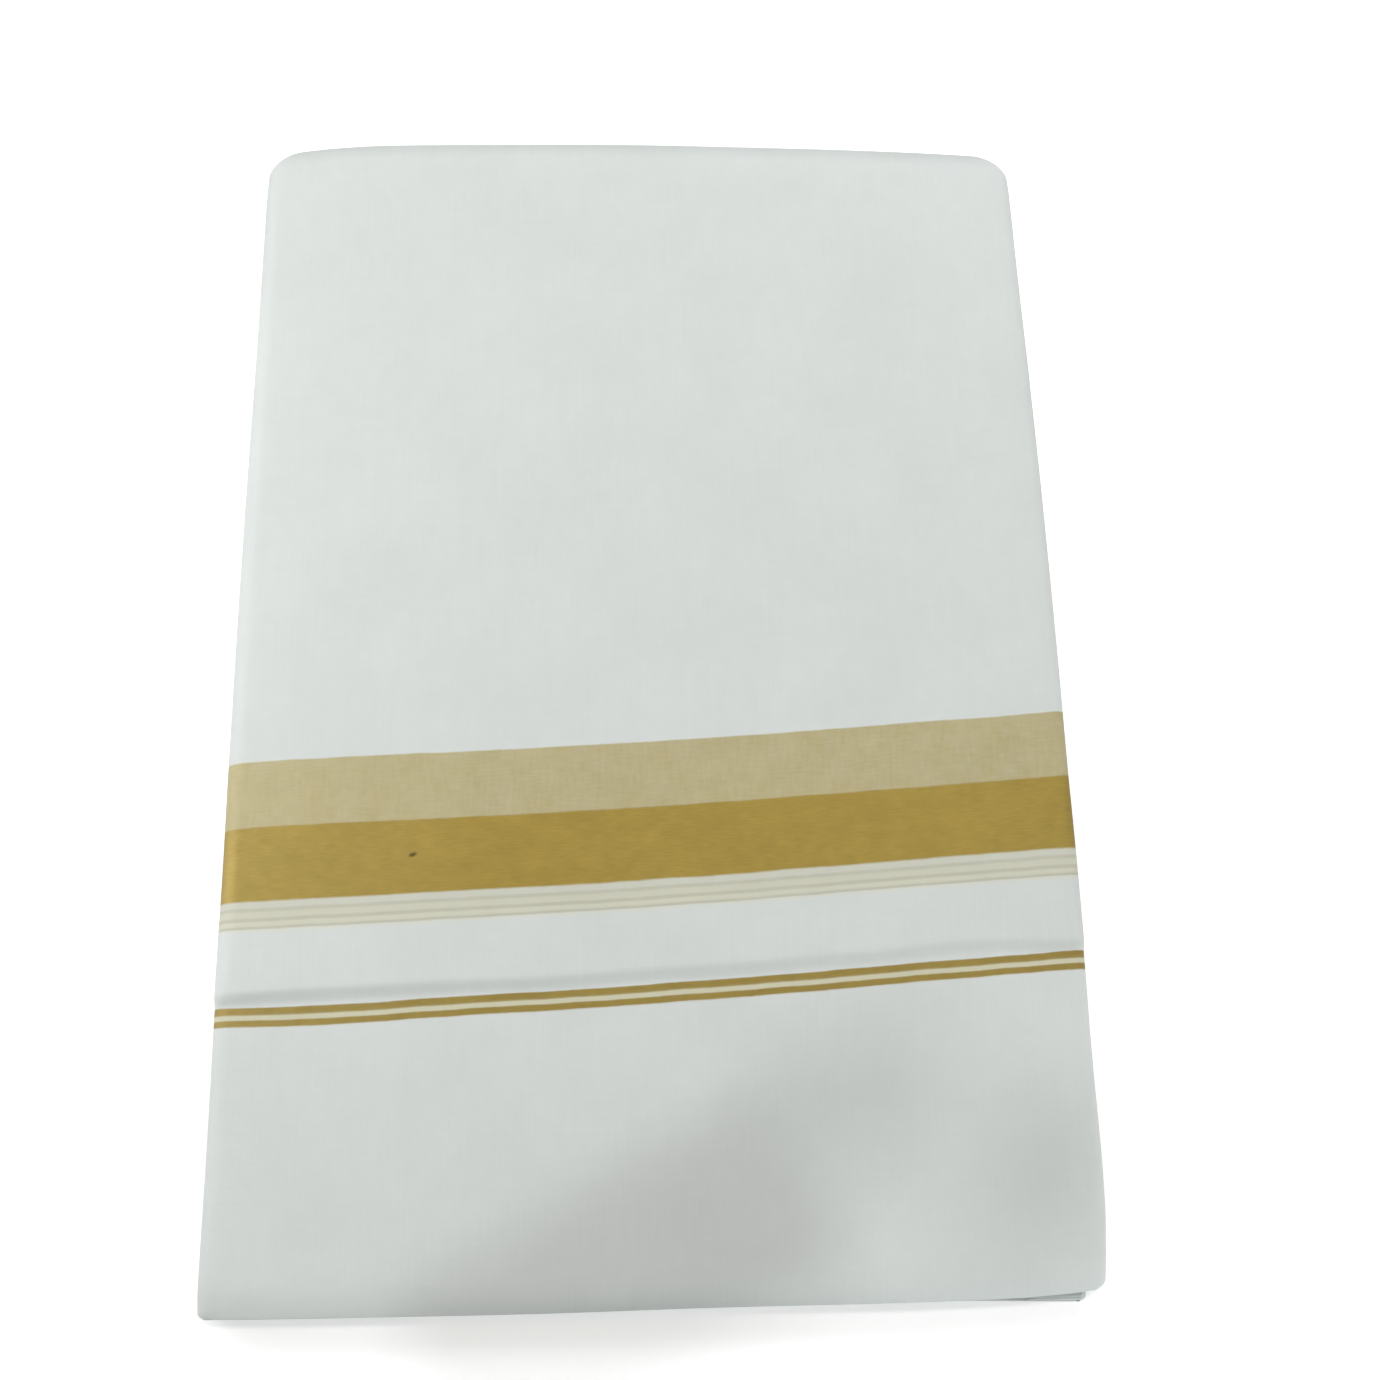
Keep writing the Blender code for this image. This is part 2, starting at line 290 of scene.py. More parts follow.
# Each swell and pull: x, y, reach along, reach across, turn in degrees, height.
SWELLS = (
    (-0.010, -0.152, 0.075, 0.020, 24, -0.0009),
    (0.074, -0.128, 0.040, 0.018, 20, 0.0005),
    (-0.085, -0.135, 0.045, 0.024, 10, 0.0003),
    (0.118, -0.172, 0.026, 0.020, 40, -0.0013),
    (-0.030, 0.060, 0.110, 0.080, 60, 0.0003),
)
PULLS = (
    (0.118, -0.112, 0.014, 0.0022, -6, -0.00010),
    (0.115, -0.127, 0.018, 0.0026, 4, -0.00014),
    (0.119, -0.139, 0.012, 0.0020, -10, -0.00012),
    (0.112, -0.150, 0.020, 0.0030, 8, -0.00016),
    (0.117, -0.160, 0.015, 0.0024, 14, -0.00014),
    (-0.112, -0.122, 0.016, 0.0030, 5, -0.00010),
    (-0.110, -0.150, 0.014, 0.0026, -8, -0.00010),
    (0.116, 0.020, 0.016, 0.0032, 5, -0.00008),
    (0.112, 0.085, 0.020, 0.0034, -4, -0.00008),
)


def ways_out(x, y):
    """How far it is from one place to each edge of the packet."""
    return {
        "far": far_edge(x) - y,
        "near": y - near_edge(x),
        "left": x - left_edge(y),
        "right": right_edge(y) - x,
    }


def swell(x, y, place_x, place_y, reach_along, reach_across, degrees, height):
    turn = math.radians(degrees)
    dx, dy = x - place_x, y - place_y
    along = (dx * math.cos(turn) + dy * math.sin(turn)) / reach_along
    across = (dy * math.cos(turn) - dx * math.sin(turn)) / reach_across
    return height * math.exp(-(along**2) - across**2)


def top_height(x, y):
    """Z of the upper face, without the small pulls."""
    down = CREASE_DROP * smooth((crease(x) - y + CREASE_HALF) / (2 * CREASE_HALF))
    for edge, way in ways_out(x, y).items():
        depth, reach = FALLS[edge]
        down += depth * (1 - clamp(way / reach)) ** 2
    return PACK_HEIGHT - CROWN - down + sum(swell(x, y, *row) for row in SWELLS)


def pressed_height(x, y):
    return top_height(x, y) + sum(swell(x, y, *row) for row in PULLS)


print(f"middle of the upper face: {1000 * top_height(0, 0):.2f} mm")
print(f"just under the crease: {1000 * top_height(0, CREASE_Y - 2 * CREASE_HALF):.2f} mm")

# %% [markdown]
# ## How the strips turn
#
# Strip 0 lies on the table and strip 15 is on top. The last halving is the big round turn on the
# left, where strip k meets strip 15 - k. On the right, 8 to 15 turn in one fold, 0 to 3 in a small
# one, 6 meets 7, and 4 and 5 are the loose ends. That makes one unbroken path, and the outer cloth
# is the part of it that shows: strip 0, the left turn, strip 15, and the two turns on the right.

# %% The turns
# The unit is the height that one strip takes up in an even packet.
UNIT = PACK_HEIGHT / STRIPS
LEFT_TURN = PACK_HEIGHT / 2
UPPER_TURN = PACK_HEIGHT / 4
LOWER_TURN = PACK_HEIGHT / 8
LOWER_STRIPS = 4
FIRST_FOLD_BACK = 0.0008
LOOSE_ENDS_BACK = 0.0012


def is_upper(strip):
    return strip >= STRIPS / 2


def turn_of(low, high, s):
    """The turn that joins two strips on one line: the side it is on, the x of its centre, and how
    many strips lie below that centre."""
    left, right = line_ends(s, is_upper(low))
    side = 1
    if low + high == STRIPS - 1:
        side, x = -1, left + LEFT_TURN
    elif is_upper(low):
        x = right - UPPER_TURN
    elif high < LOWER_STRIPS:
        x = right - LOWER_TURN
    else:
        x = right - FIRST_FOLD_BACK - UNIT
    return {"side": side, "x": x, "centre": (low + high + 1) / 2}


turn_x = turn_of(0, 15, 1.0)["x"]
print(f"the left turn's centre stands at x = {1000 * turn_x:.1f} mm on the crease line")

# %% [markdown]
# No fold is ever pressed quite even. Each strip's folded ends stand back by up to a millimetre or
# so and wander as they cross the packet, and the turns at the sides are dented here and there. The
# chances are drawn with a fixed seed, so the cloth comes out the same each time.

# %% Uneven folds
SEED = 11
END_BACK_LEAST = 0.00015
END_BACK_MOST = 0.00150
END_WANDER = 0.00070
END_WAVES = (0.05, 0.17)
OUTER_WANDER = 0.00012
OUTER_STRIPS = (0, STRIPS - 1)
SEAM_WAVER = 0.00013
SEAM_WAVES = (0.06, 0.15)
SEAM_FADE = 0.12
# Each dent: side, y, half its length, depth.
DENTS = (
    (-1, 0.118, 0.034, 0.00022),
    (-1, 0.021, 0.046, -0.00014),
    (-1, -0.064, 0.022, 0.00018),
    (-1, -0.139, 0.030, 0.00020),
    (1, 0.132, 0.026, 0.00020),
    (1, 0.043, 0.040, -0.00012),
    (1, -0.034, 0.020, 0.00018),
    (1, -0.118, 0.016, 0.00022),
    (1, -0.150, 0.012, -0.00016),
)


def draw_folded_ends():
    """How far each end of each strip stands back and wanders, and the wave and start of that."""
    chance = random.Random(SEED)
    ends = {}
    for strip in range(STRIPS):
        for end in ("far", "near"):
            back, wander = chance.uniform(END_BACK_LEAST, END_BACK_MOST), END_WANDER
            if strip in OUTER_STRIPS:
                back, wander = 0.0, OUTER_WANDER
            ends[strip, end] = back, wander, chance.uniform(*END_WAVES), chance.uniform(0, 2 * math.pi)
    return ends


def draw_seam_waves():
    """For the seam under each strip, and the one on top, the wave and start of its waver."""
    chance = random.Random(SEED + 2)
    return [(chance.uniform(*SEAM_WAVES), chance.uniform(0, 2 * math.pi)) for _ in range(STRIPS + 1)]


FOLDED_ENDS = draw_folded_ends()
SEAMS = draw_seam_waves()


def seam_waver(seam, x):
    """How far the seam between two strips lies above its even height. The outer ones don't waver."""
    if seam in (0, 1, STRIPS - 1, STRIPS):
        return 0.0
    return SEAM_WAVER * wave(x, *SEAMS[seam])


def stand_back(strip, end, x):
    back, wander, *swing = FOLDED_ENDS[strip, end]
    return back + wander * (1 + wave(x, *swing)) / 2


def drawn_in(strip, x, y, upper):
    """How far a point of a strip moves along the packet because its folded ends stand back."""
    near_far_end = 1 - clamp((far_edge(x) - y) / FAR_CORNER)
    near_near_end = 1 - clamp((y - near_edge(x, upper)) / FAR_CORNER)
    return stand_back(strip, "near", x) * near_near_end - stand_back(strip, "far", x) * near_far_end


def dented(side, y):
    """How far a turn is pushed in at one place along the packet."""
    return sum(depth * bell(y, place, half) for dent_side, place, half, depth in DENTS if dent_side == side)


backs = [1000 * FOLDED_ENDS[strip, "near"][0] for strip in range(1, STRIPS - 1)]
print(f"near ends stand back {min(backs):.2f} to {max(backs):.2f} mm")

# %% [markdown]
# ## Stations along the cloth
#
# The cloth's path is a chain of stations, on the straight strips and round the turns. A station
# can say where the cloth is on any line across the packet, and at any lift: 1 is the side with the
# border, -1 the other side of the strip, and 0 its middle.

# %% Stations
def half_thickness(p):
    return (p - HAIRLINE) / 2


def pitch(x, y):
    """The height that one strip takes up at one place."""
    return pressed_height(x, y) / STRIPS


def strip_station(strip, face, start, end, t):
    """A place on a straight strip. face is 1 where the border's side looks up."""
    steady = smooth(min(t, 1 - t) / SEAM_FADE)

    def place(s, lift):
        x = mix(start(s), end(s), t)
        y = line_y(s, x, is_upper(strip))
        p = pitch(x, y)
        under, over = steady * seam_waver(strip, x), steady * seam_waver(strip + 1, x)
        middle = (strip + 0.5) * p + (under + over) / 2
        z = middle + face * lift * (half_thickness(p) + (over - under) / 2)
        return x, y + drawn_in(strip, x, y, is_upper(strip)), z

    return place


def turn_station(low, high, outer, angle):
    """A place in a turn, from angle 0 at its upper strip to half a circle at its lower one.
    outer is 1 where the border's side is the outer one."""
    upper = is_upper(high) and (low + high != STRIPS - 1 or angle < math.pi / 2)

    def place(s, lift):
        turn = turn_of(low, high, s)
        y = line_y(s, turn["x"], upper)
        p = pitch(turn["x"], y)
        rise = (high + 0.5 - turn["centre"]) * p + outer * lift * half_thickness(p)
        reach = rise / p * UNIT - dented(turn["side"], y)
        x = turn["x"] + turn["side"] * reach * math.sin(angle)
        z = turn["centre"] * p + rise * math.cos(angle)
        y = line_y(s, x, upper)
        shift = mix(drawn_in(high, x, y, upper), drawn_in(low, x, y, upper), angle / math.pi)
        return x, y + shift, z

    return place


def turn_centre(low, high, back=0.0):
    """A function of the line that gives the x of a turn's centre, or of a place further back."""
    return lambda s: turn_of(low, high, s)["x"] - back


def follow(strips, face, start, end, cells, turn_cells):
    """The stations along a run of strips. face is that of the first strip, start and end are the
    x of its two free ends, and cells is a function of the strip or, for turn_cells, of a pair."""
    stations = []
    marks = {}
    pairs = [sorted(pair) for pair in zip(strips, strips[1:])]
    centres = [turn_centre(*pair) for pair in pairs]
    for number, (strip, x_from, x_to) in enumerate(zip(strips, [start] + centres, centres + [end])):
        count = cells(strip)
        marks[strip] = len(stations)
        for step in range(count + 1):
            stations.append(strip_station(strip, face, x_from, x_to, step / count))
        if number < len(pairs):
            low, high = pairs[number]
            outer = face if strip == high else -face
            count = turn_cells(low, high)
            for step in range(1, count):
                share = step / count
                angle = math.pi * ((1 - share) if strip == low else share)
                stations.append(turn_station(low, high, outer, angle))
            face = -face
    return stations, marks


print(f"one strip takes up {1000 * UNIT:.3f} mm of the packet's height")

# %% [markdown]
# Across the strip the cloth needs lines too. They stand close where it bends hard, at the folded
# ends and at the crease, and far apart in the open field, so the step between two lines grows with
# the distance to the nearest bend. At an end the cloth rolls over a round lip and runs back inside.

# %% Lines and lips
LIP = half_thickness(UNIT)
LIP_STEPS = 6


def graded_lines(least, growth, field_most, near_most):
    """The lines from one lip to the other, as numbers between 0 and 2."""
    lines = [from_far(LIP)]
    last = from_near(LIP)
    while lines[-1] < last:
        s = lines[-1]
        span = FAR_SPAN if s < 1 else NEAR_SPAN
        away = min(s % 1, 1 - s % 1) * span
        most = field_most if s < 1 else near_most
        lines.append(s + min(most, least + growth * away) / span)
    lines[-2:] = [last]
    return lines


def lip(line_at, top, bottom):
    """The points of a rounded lip between two lifts: each is a line, a lift and the cloth's run.
    line_at is from_far or from_near."""
    radius = LIP * (top - bottom) / 2
    points = []
    for step in range(1, LIP_STEPS):
        angle = math.pi * step / LIP_STEPS
        away = radius * (1 - math.sin(angle)) + LIP - radius
        points.append((line_at(away), mix(bottom, top, (1 + math.cos(angle)) / 2), radius * angle))
    return points


outer_lines = graded_lines(least=0.00030, growth=0.15, field_most=0.0040, near_most=0.0022)
inner_lines = graded_lines(least=0.00080, growth=0.40, field_most=0.0400, near_most=0.0250)
print(f"{len(outer_lines)} lines on the outer cloth, {len(inner_lines)} on a hidden strip")

# %% [markdown]
# ## Thread coordinates
#
# The cloth gets a UV map that is the cloth laid flat, in metres: U runs along the border and V
# across it. Any stripe is then a range of V, and it follows the cloth round every turn. The folder
# was a little careless, so the border climbs by three degrees across the packet and sags in the
# middle. That is laid into the map, so the threads themselves follow it.

# %% How the border lies on the packet
BORDER_SLOPE = 0.0510
BORDER_FAN = 0.08
BORDER_MIDDLE = -0.063
FAN_REACH = 0.045
BORDER_SHIFT = -0.0010
BORDER_SAG = 0.0014
SAG_WAVE = 0.27
FACE_REACH = 0.135
BEYOND_FACE = 0.2
# Each nudge: u, its width, y, its height, shift.
BORDER_NUDGES = (
    (-0.130, 0.014, -0.105, 0.035, 0.0010),
    (-0.086, 0.022, -0.105, 0.030, -0.0004),
    (0.128, 0.014, -0.025, 0.022, 0.0007),
)


def border_nudge(u, y, place_u, wide, place_y, high, shift):
    return shift * math.exp(-(((u - place_u) / wide) ** 2) - ((y - place_y) / high) ** 2)


def border_drift(u, y):
    """How far the threads that run across the packet have moved along it at one place."""
    from_middle = max(-FAN_REACH, min(FAN_REACH, BORDER_MIDDLE - y))
    slope = BORDER_SLOPE + BORDER_FAN * from_middle
    on_face = max(-FACE_REACH, min(FACE_REACH, u))
    along = on_face + BEYOND_FACE * (u - on_face)
    sag = BORDER_SAG * (1 - math.cos(2 * math.pi * u / SAG_WAVE)) / 2
    return BORDER_SHIFT + slope * along + sag + sum(border_nudge(u, y, *row) for row in BORDER_NUDGES)


climb = border_drift(RIGHT_X, BORDER_MIDDLE) - border_drift(LEFT_X, BORDER_MIDDLE)
print(f"the border climbs {1000 * climb:.1f} mm across the packet")

# %% [markdown]
# The far and side folds turn away from the light, so their shade is painted into the cloth's colour
# and they are darker than the open face. The mesh will keep at each of its points how much painted
# shade it has there. The end with the border is the one that is shown, and its folds get no painted
# shade but for the middle of the near end, where the fold turns under into shade.

# %% Painted shade on the folds
# Each edge: how much darker its fold is painted, and how far in that painted shade reaches.
SHADED_FOLDS = {"far": (0.16, 0.0065), "left": (0.08, 0.0050), "right": (0.085, 0.0050)}
SHADED_FOLDS_POWER = 1.5
UNSHADED_BELOW = -0.110
FULLY_SHADED_ABOVE = -0.060
# The middle of the near end gets painted shade too, where its fold turns under.
NEAR_FOLD_SHADE = (0.15, 0.0060)
NEAR_FOLD_SHADE_X = -0.003
NEAR_FOLD_SHADE_WIDE = 0.060


# Painted shade that is deepest on a fold and fades over its reach.
def fold_shade_depth(away, most, reach):
    return most * (1 - clamp(away / reach)) ** SHADED_FOLDS_POWER


def painted_fold_shade(x, y):
    """How much shade is painted into the cloth's colour at one place, where folds near it turn away from the
    light.
    """
    ways = ways_out(x, y)
    most = max(fold_shade_depth(ways[edge], *row) for edge, row in SHADED_FOLDS.items())
    near_shade = fold_shade_depth(ways["near"], *NEAR_FOLD_SHADE) * bell(x, NEAR_FOLD_SHADE_X, NEAR_FOLD_SHADE_WIDE)
    return max(near_shade, most * smooth((y - UNSHADED_BELOW) / (FULLY_SHADED_ABOVE - UNSHADED_BELOW)))


print(f"the middle of the left fold is {100 * painted_fold_shade(left_edge(0), 0):.0f} percent greyer than the face")

# %% [markdown]
# ## Laying cloth
#
# One helper turns stations and slots into a mesh. A slot is a line, a lift, the line that its cloth
# is measured from, and the length that has run past it. The outer cloth is an open sheet. A strip
# inside is a closed ring, so its last slot is the first one again, with its own V there, and the
# map is kept on the corners of the faces so that this seam does not smear.

# %% Lay a sheet of cloth
def looks_inwards(stations, slots):
    """True if faces laid in the order of the stations and slots would look into the cloth."""
    i = len(stations) // 2
    pairs = zip(slots[2:], slots[3:])
    s, lift, next_s = next((a[0], a[1], b[0]) for a, b in pairs if a[1] == b[1] and a[0] <= b[0])
    here = Vector(stations[i](s, lift))
    along = Vector(stations[i - 1](s, lift)) - here
    across = Vector(stations[i](next_s, lift)) - here
    out = here - Vector(stations[i](s, lift - 1))
    return across.cross(along).dot(out) < 0


def lay(name, stations, slots, closed=True, mark=0, mark_u=0.0):
    """mark is the station where U is anchored: to mark_u, or to the place's own x. U falls along
    the path, because the outer cloth's upper face is laid from right to left."""
    flat = []
    for _, _, s_cloth, run in slots:
        middles = [station(s_cloth, 0.0) for station in stations]
        walked = [0.0]
        for a, b in zip(middles, middles[1:]):
            walked.append(walked[-1] + math.hypot(b[0] - a[0], b[2] - a[2]))
        anchor = middles[mark][0] if mark_u is None else mark_u
        us = [anchor - (w - walked[mark]) for w in walked]
        drift_at = us if mark_u is None else [m[0] for m in middles]
        vs = [m[1] - border_drift(d, m[1]) + run for m, d in zip(middles, drift_at)]
        flat.append(list(zip(us, vs)))
    rings = slots[:-1] if closed else slots
    points = [station(s, lift) for s, lift, _, _ in rings for station in stations]
    count = len(stations)
    inside_out = looks_inwards(stations, slots)
    faces = []
    corners = []
    for column in range(len(slots) - 1):
        for i in range(count - 1):
            square = (column, i), (column, i + 1), (column + 1, i + 1), (column + 1, i)
            face = [c % len(rings) * count + n for c, n in square]
            cloth = [flat[c][n] for c, n in square]
            faces.append(face[::-1] if inside_out else face)
            corners += cloth[::-1] if inside_out else cloth
    if closed:
        for i, flip in ((0, inside_out), (count - 1, not inside_out)):
            cap = [column * count + i for column in range(len(rings))]
            ends = [flat[column][i] for column in range(len(rings))]
            faces.append(cap if flip else cap[::-1])
            corners += ends if flip else ends[::-1]
    mesh = bpy.data.meshes.new(name)
    mesh.from_pydata(points, [], faces)
    threads = mesh.uv_layers.new(name="threads")
    for loop, corner in zip(threads.data, corners):
        loop.uv = corner
    # Each point keeps how much fold shade is painted into its colour.
    fold_shade = mesh.attributes.new("fold_shade", "FLOAT", "POINT")
    for value, (x, y, _) in zip(fold_shade.data, points):
        value.value = painted_fold_shade(x, y)
    mesh.update()
    mesh.shade_smooth()
    return add_thing(name, mesh)


# %% [markdown]
# ## The outer cloth
#
# This is the sheet that shows: from its tuck between strips 7 and 8, round the upper turn on the
# right, over the face, round the big turn on the left, along the table and up the small turn on
# the right to its second tuck. Pressed folds have exact places that a simulation would soften, so
# the sheet is laid station by station, its ends roll over their lips, and Solidify gives it the
# thickness of one cloth, inwards.

# %% Slots of the outer cloth
RETURNS = (0.0060, 0.0030, 0.0007, 0.0)


def outer_slots():
    far, near = from_far(LIP), from_near(LIP)
    half_way = math.pi * LIP
    slots = [(from_far(LIP + back), -1, far, half_way + back) for back in RETURNS]
    slots += [(s, lift, far, run) for s, lift, run in reversed(lip(from_far, 1, -1))]
    slots += [(s, 1, s, 0.0) for s in outer_lines]
    slots += [(s, lift, near, -run) for s, lift, run in lip(from_near, 1, -1)]
    slots += [(from_near(LIP + back), -1, near, -half_way - back) for back in reversed(RETURNS)]
    return slots


print(f"{len(outer_slots())} slots across the outer cloth")

# %% Lay the outer cloth
TUCK = 0.0140
FACE_CELLS = 92
BACK_CELLS = 40
TUCK_CELLS = 4
LEFT_CELLS = 26
UPPER_CELLS = 18
LOWER_CELLS = 12


def outer_path():
    upper_tuck, lower_tuck = turn_centre(8, 15, TUCK), turn_centre(0, 3, TUCK)
    cells = {8: TUCK_CELLS, 15: FACE_CELLS, 0: BACK_CELLS, 3: TUCK_CELLS}
    turns = {(8, 15): UPPER_CELLS, (0, 15): LEFT_CELLS, (0, 3): LOWER_CELLS}
    return follow((8, 15, 0, 3), -1, upper_tuck, lower_tuck, cells.get, lambda *pair: turns[pair])


def pick(*things):
    """Selects these things alone and makes the first one active."""
    bpy.ops.object.select_all(action="DESELECT")
    for thing in things:
        thing.select_set(True)
    bpy.context.view_layer.objects.active = things[0]


def finish_with(thing, kind, **settings):
    """Adds one modifier with its settings and applies it."""
    pick(thing)
    modifier = thing.modifiers.new(kind.lower(), kind)
    for setting, value in settings.items():
        setattr(modifier, setting, value)
    bpy.ops.object.modifier_apply(modifier=modifier.name)
    thing.select_set(False)


def triangles(thing):
    return sum(len(face.vertices) - 2 for face in thing.data.polygons)


stations, marks = outer_path()
outer_cloth = lay("outer_cloth", stations, outer_slots(), False, marks[15], None)
finish_with(outer_cloth, "SOLIDIFY", thickness=CLOTH, offset=-1)
print(f"outer cloth: {len(stations)} stations, {triangles(outer_cloth)} triangles")

# %% [markdown]
# ## The folds inside
#
# Fourteen strips lie between the outermost two. They show at the far and near ends as a stack of
# lips, nested where they turn, and on the right as the first fold of the cloth with its two loose
# ends. They follow the cloth's real path: one run from a loose end to the lower tuck, another from
# the upper tuck to the other loose end. A strip is three to four thicknesses, so its near end has
# two lips, one over the other.

# %% Slots of a hidden strip
ALONG = FAR_SPAN + NEAR_SPAN - 2 * LIP


def to_near_end(s):
    return (2 - s) * NEAR_SPAN - LIP if s > 1 else NEAR_SPAN - LIP + (1 - s) * FAR_SPAN


def inner_slots(top=1.0, bottom=-1.0, near_lips=2):
    """A closed ring round one strip, or round a part of its thickness between two lifts."""
    far, near = inner_lines[0], inner_lines[-1]
    girth = LIP * (top - bottom) / 2 * math.pi
    way_round = -2 * ALONG - 2 * girth
    slots = [(s, top, s, 0.0) for s in inner_lines]
    edges = [mix(top, bottom, n / near_lips) for n in range(near_lips + 1)]
    past = 0.0
    for high, low in zip(edges, edges[1:]):
        slots += [(s, lift, near, -past - run) for s, lift, run in lip(from_near, high, low)]
        past += LIP * (high - low) / 2 * math.pi
        slots.append((near, low, near, -past))
    slots += [(s, bottom, s, -2 * to_near_end(s) - girth) for s in reversed(inner_lines[:-1])]
    slots += [(s, lift, far, way_round + run) for s, lift, run in reversed(lip(from_far, top, bottom))]
    return slots + [(far, top, far, way_round)]


print(f"{len(inner_slots()) - 1} slots round a hidden strip")

# %% [markdown]
# The two loose ends are cut edges. Each is three or four leaves of bare cloth that stand out by
# slightly different lengths, so the last few millimetres of strips 4 and 5 are laid as leaves.

# %% Lay the folds inside
INNER_CELLS = 20
NESTED_CELLS = 10
SEAM = 0.0003
LEAF_LENGTH = 0.0060
LEAF_OVERLAP = 0.001
LEAF_GAP = 0.04
LEAF_UNEVEN = 0.0009
LEAVES = {4: 4, 5: 3}
LEAF_CELLS = 3
leaf_chance = random.Random(SEED + 1)


def tuck_end(low, high):
    return lambda s: turn_of(low, high, s)["x"] - TUCK - SEAM


def loose_end(back):
    return lambda s: line_ends(s, upper=False)[1] - LOOSE_ENDS_BACK - back


def hidden_run(name, strips, face, start, end):
    run, _ = follow(strips, face, start, end, lambda strip: INNER_CELLS, lambda *pair: NESTED_CELLS)
    return lay(name, run, inner_slots())


def leaf(name, strip, face, number, count):
    back = leaf_chance.uniform(0, LEAF_UNEVEN)
    top = 1 - 2 * number / count
    bottom = 1 - 2 * (number + 1) / count
    ends = loose_end(LEAF_LENGTH + LEAF_OVERLAP), loose_end(back)
    run = [strip_station(strip, face, *ends, step / LEAF_CELLS) for step in range(LEAF_CELLS + 1)]
    slots = inner_slots(mix(top, bottom, LEAF_GAP), mix(top, bottom, 1 - LEAF_GAP), near_lips=1)
    return lay(name, run, slots)


def lay_folds():
    first_part = loose_end(LEAF_LENGTH)
    upper_tuck, lower_tuck = tuck_end(8, 15), tuck_end(0, 3)
    made = [
        hidden_run("run_to_lower_tuck", (4, 11, 12, 3), -1, first_part, lower_tuck),
        hidden_run("run_from_upper_tuck", (8, 7, 6, 9, 14, 1, 2, 13, 10, 5), -1, upper_tuck, first_part),
    ]
    for strip, face in ((4, -1), (5, 1)):
        made += [leaf(f"leaf_{strip}_{n}", strip, face, n, LEAVES[strip]) for n in range(LEAVES[strip])]
    return made


def join(name, things):
    pick(*things)
    bpy.ops.object.join()
    things[0].name = things[0].data.name = name
    things[0].select_set(False)
    return things[0]


inner_folds = join("inner_folds_cloth", lay_folds())
print(f"folds inside: {triangles(inner_folds)} triangles")

# %% [markdown]
# ## The weave
#
# This is plain cotton weave with a border of gold-coloured warp. A picture of cloth wrapped over
# the packet would blur and repeat, so nodes work the weave out from the thread coordinates.

# %% Helpers for the finishes
def feed(tree, socket, value):
    """Links a socket to what another node gives, or sets it to a plain value."""
    if isinstance(value, bpy.types.NodeSocket):
        tree.links.new(value, socket)
    else:
        socket.default_value = value


def put(tree, kind, inputs=None, **settings):
    node = tree.nodes.new("ShaderNode" + kind)
    for setting, value in settings.items():
        setattr(node, setting, value)
    for socket, value in (inputs or {}).items():
        feed(tree, node.inputs[socket], value)
    return node


def reckon(tree, operation, *values, clamped=False):
    node = put(tree, "Math", dict(enumerate(values)), operation=operation, use_clamp=clamped)
    return node.outputs["Value"]


def times(tree, first, second):
    return reckon(tree, "MULTIPLY", first, second)


def spread(tree, value, low, high):
    """Turns 0 to 1 into low to high."""
    return reckon(tree, "MULTIPLY_ADD", value, high - low, low)


def ranged(tree, value, low, high, **more):
    """Turns low to high into 0 to 1, and stops at both."""
    inputs = {"Value": value, "From Min": low, "From Max": high, **more}
    return put(tree, "MapRange", inputs).outputs["Result"]


def vectors(tree, operation, inputs, output="Vector"):
    return put(tree, "VectorMath", inputs, operation=operation).outputs[output]


def noise(tree, place, scale, detail, output="Fac"):
    return put(tree, "TexNoise", {"Vector": place, "Scale": scale, "Detail": detail}).outputs[output]


# %% [markdown]
# The stripes of the border are a short table. Each row is a stretch of V, from its far side to its
# near one in millimetres, then the share of gold that shows in it, how cream its cotton is, and
# how light the cloth is, which is a little less where the warp is thin. One colour ramp turns V
# into the three numbers, with soft edges.

# %% The border's stripes
STRIPES = (
    ("half-gold band", -26.4, -46.3, 0.47, 1.0, 1.0),
    ("gold band", -46.3, -67.8, 1.0, 1.0, 1.0),
    ("cream ground", -67.8, -69.8, 0.05, 0.42, 0.98),
    ("fine line", -69.8, -70.9, 0.14, 0.5, 0.93),
    ("cream ground", -70.9, -72.6, 0.04, 0.60, 1.0),
    ("fine line", -72.6, -73.6, 0.15, 0.5, 0.92),
    ("cream ground", -73.6, -74.9, 0.03, 0.60, 1.02),
    ("fine line", -74.9, -75.7, 0.16, 0.5, 0.92),
    ("cream edge", -75.7, -76.6, 0.0, 0.30, 1.04),
    ("gold line", -97.6, -99.5, 0.96, 1.0, 0.88),
    ("cream between", -99.5, -101.1, 0.04, 0.9, 1.03),
    ("gold line", -101.1, -102.9, 0.96, 1.0, 0.88),
)
PLAIN = (0.0, 0.0, 1.0)
RAMP_FROM = -0.110
RAMP_TO = -0.020
EDGE_SOFT = 0.00018
MM = 0.001


def stripe_edges():
    """The places of V where the border changes, from its near side to its far one, and what it
    changes from and to."""
    edges = []
    near, before = None, PLAIN
    for _, from_v, to_v, *look in reversed(STRIPES):
        if near is not None and to_v != near:
            edges.append((near * MM, before, PLAIN))
            before = PLAIN
        edges.append((to_v * MM, before, look))
        near, before = from_v, look
    edges.append((near * MM, before, PLAIN))
    return edges


def fill_ramp(ramp):
    stops = []
    for v, before, after in stripe_edges():
        stops += [(v - EDGE_SOFT / 2, before), (v + EDGE_SOFT / 2, after)]
    while len(ramp.elements) > 1:
        ramp.elements.remove(ramp.elements[-1])
    for number, (v, look) in enumerate(stops):
        at = (v - RAMP_FROM) / (RAMP_TO - RAMP_FROM)
        element = ramp.elements.new(at) if number else ramp.elements[0]
        element.position = at
        element.color = (*look, 1.0)


